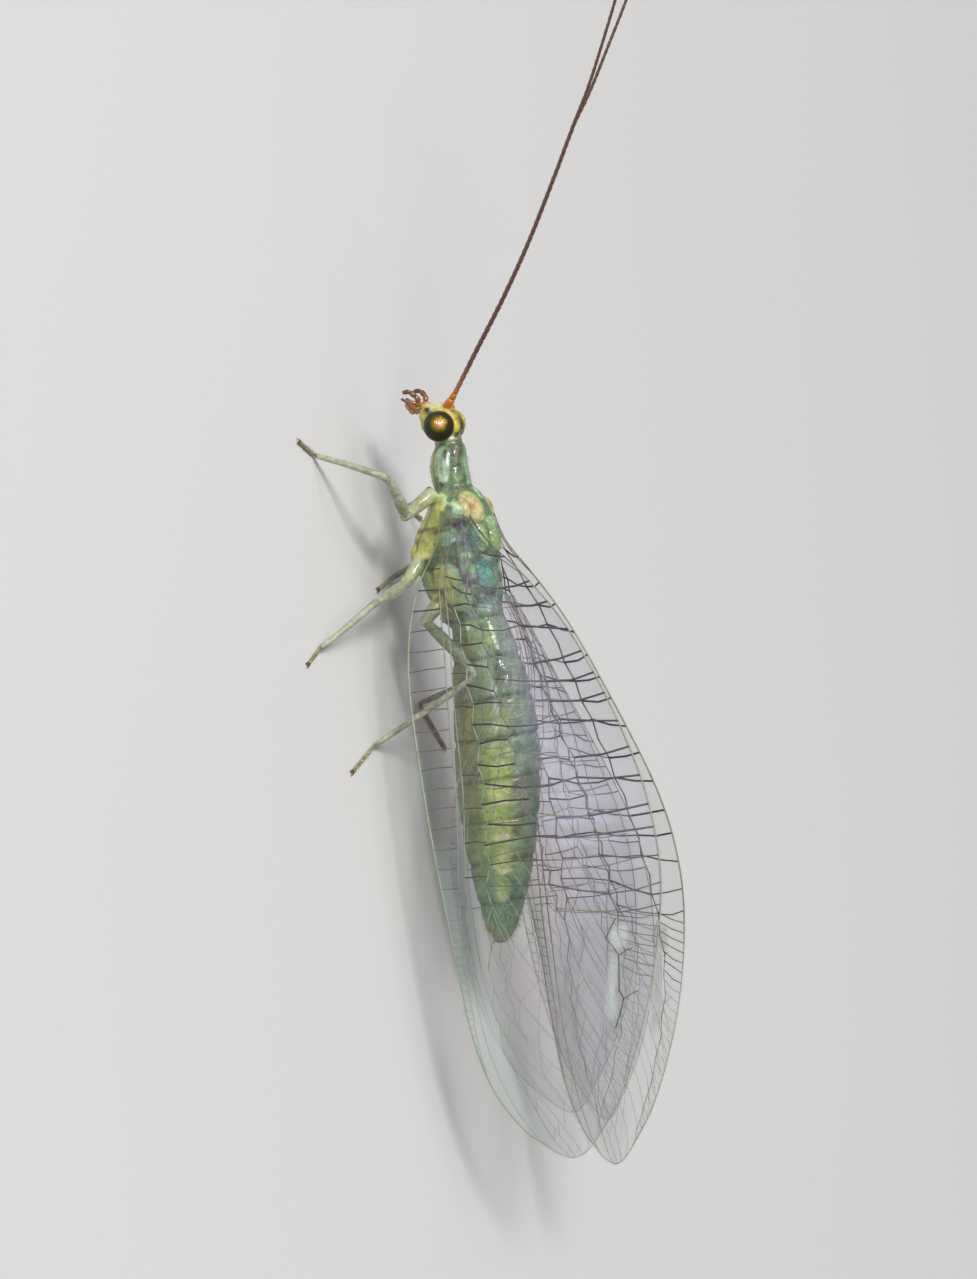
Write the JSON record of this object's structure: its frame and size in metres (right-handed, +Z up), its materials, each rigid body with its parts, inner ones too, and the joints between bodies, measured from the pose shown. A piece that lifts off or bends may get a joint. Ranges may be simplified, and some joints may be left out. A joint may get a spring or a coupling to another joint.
{
  "type": "green lacewing model",
  "caption": "Life-size green lacewing at rest, with slender green body, metallic eyes, long feelers and clear netted wings folded like a roof over its abdomen.",
  "frame": {"origin": "on the standing surface, under the middle of the model's outer box", "axes": "+Z up, +Y towards the tail along the body, +X to the insect's left"},
  "size_m": [0.0082, 0.0274, 0.0098],
  "materials": {
    "green_skin": "soft pale green cuticle, slightly shiny, with yellow and bluish patches",
    "metallic_eye": "dark eye with a golden and copper-green metallic gloss",
    "amber_mouth": "shiny amber-brown mouthparts",
    "antenna_brown": "brown beaded feelers with an orange root",
    "leg_skin": "pale grey-green legs with olive feet",
    "wing_membrane": "clear wing membrane with pale green long veins and dark crossveins"
  },
  "bodies": {
    "root": {"head": "green_skin", "eye_left": "metallic_eye", "eye_right": "metallic_eye", "mouth": "amber_mouth", "palp_left": "amber_mouth", "palp_right": "amber_mouth", "antenna_left_scape": "antenna_brown", "antenna_left_whip_base": "antenna_brown", "antenna_left_whip_middle": "antenna_brown", "antenna_left_whip_tip": "antenna_brown", "antenna_right_scape": "antenna_brown", "antenna_right_whip_base": "antenna_brown", "antenna_right_whip_middle": "antenna_brown", "antenna_right_whip_tip": "antenna_brown", "prothorax": "green_skin", "mesothorax": "green_skin", "metathorax": "green_skin", "abdomen_front": "green_skin", "abdomen_middle": "green_skin", "abdomen_tip": "green_skin", "forewing_left": "wing_membrane", "forewing_right": "wing_membrane", "hindwing_left": "wing_membrane", "hindwing_right": "wing_membrane", "leg_front_left_coxa": "leg_skin", "leg_front_left_femur": "leg_skin", "leg_front_left_tibia": "leg_skin", "leg_front_left_tarsus": "leg_skin", "leg_mid_left_coxa": "leg_skin", "leg_mid_left_femur": "leg_skin", "leg_mid_left_tibia": "leg_skin", "leg_mid_left_tarsus": "leg_skin", "leg_hind_left_coxa": "leg_skin", "leg_hind_left_femur": "leg_skin", "leg_hind_left_tibia": "leg_skin", "leg_hind_left_tarsus": "leg_skin", "leg_front_right_coxa": "leg_skin", "leg_front_right_femur": "leg_skin", "leg_front_right_tibia": "leg_skin", "leg_front_right_tarsus": "leg_skin", "leg_mid_right_coxa": "leg_skin", "leg_mid_right_femur": "leg_skin", "leg_mid_right_tibia": "leg_skin", "leg_mid_right_tarsus": "leg_skin", "leg_hind_right_coxa": "leg_skin", "leg_hind_right_femur": "leg_skin", "leg_hind_right_tibia": "leg_skin", "leg_hind_right_tarsus": "leg_skin"}
  },
  "joints": []
}
